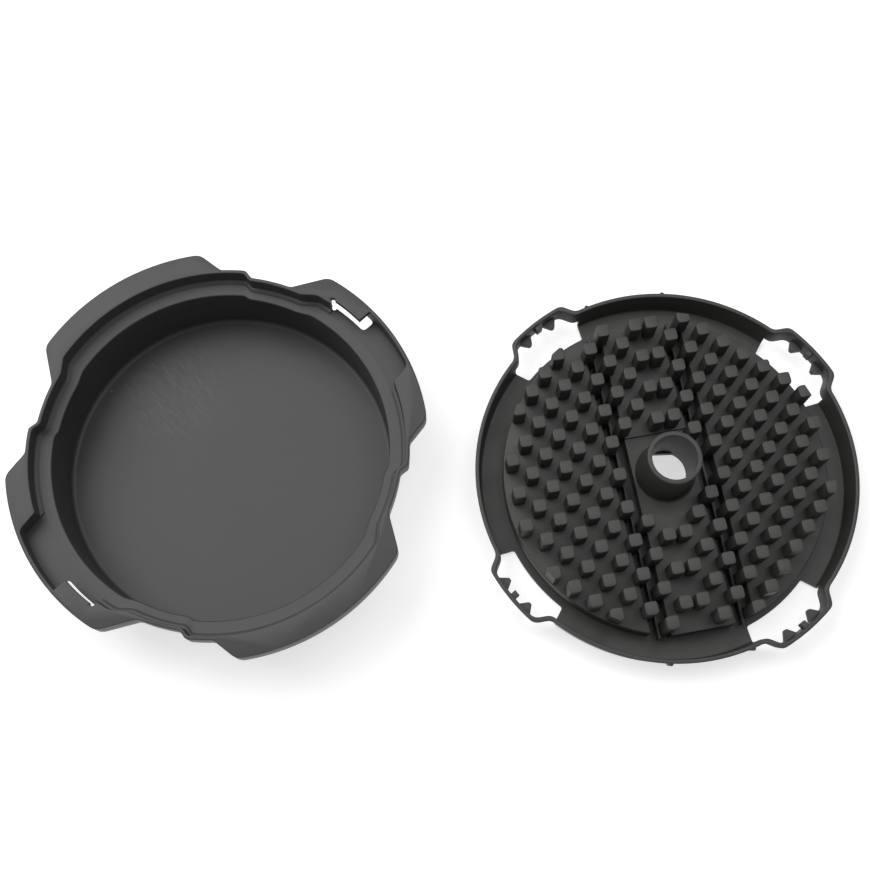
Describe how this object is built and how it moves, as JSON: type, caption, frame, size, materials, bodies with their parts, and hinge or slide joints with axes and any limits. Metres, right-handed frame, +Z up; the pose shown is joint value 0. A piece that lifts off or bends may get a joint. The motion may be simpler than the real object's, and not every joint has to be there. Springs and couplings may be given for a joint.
{
  "type": "dicing grid cleaning tool",
  "caption": "Black plastic cleaning tool for a food processor's dicing grid: a deep lobed tray and a round plate of square pegs with a centre tube.",
  "frame": {"origin": "under the middle of the pair's bounding box, at table height", "axes": "+X from the tray's centre to the plate's centre, +Z up out of the tray's mouth, +Y away from the camera"},
  "size_m": [0.3982, 0.1922, 0.042],
  "materials": {
    "tray_plastic": "matte",
    "plate_plastic": "matte"
  },
  "bodies": {
    "root": {"grid_tray": "tray_plastic", "peg_plate": "plate_plastic"}
  },
  "joints": []
}
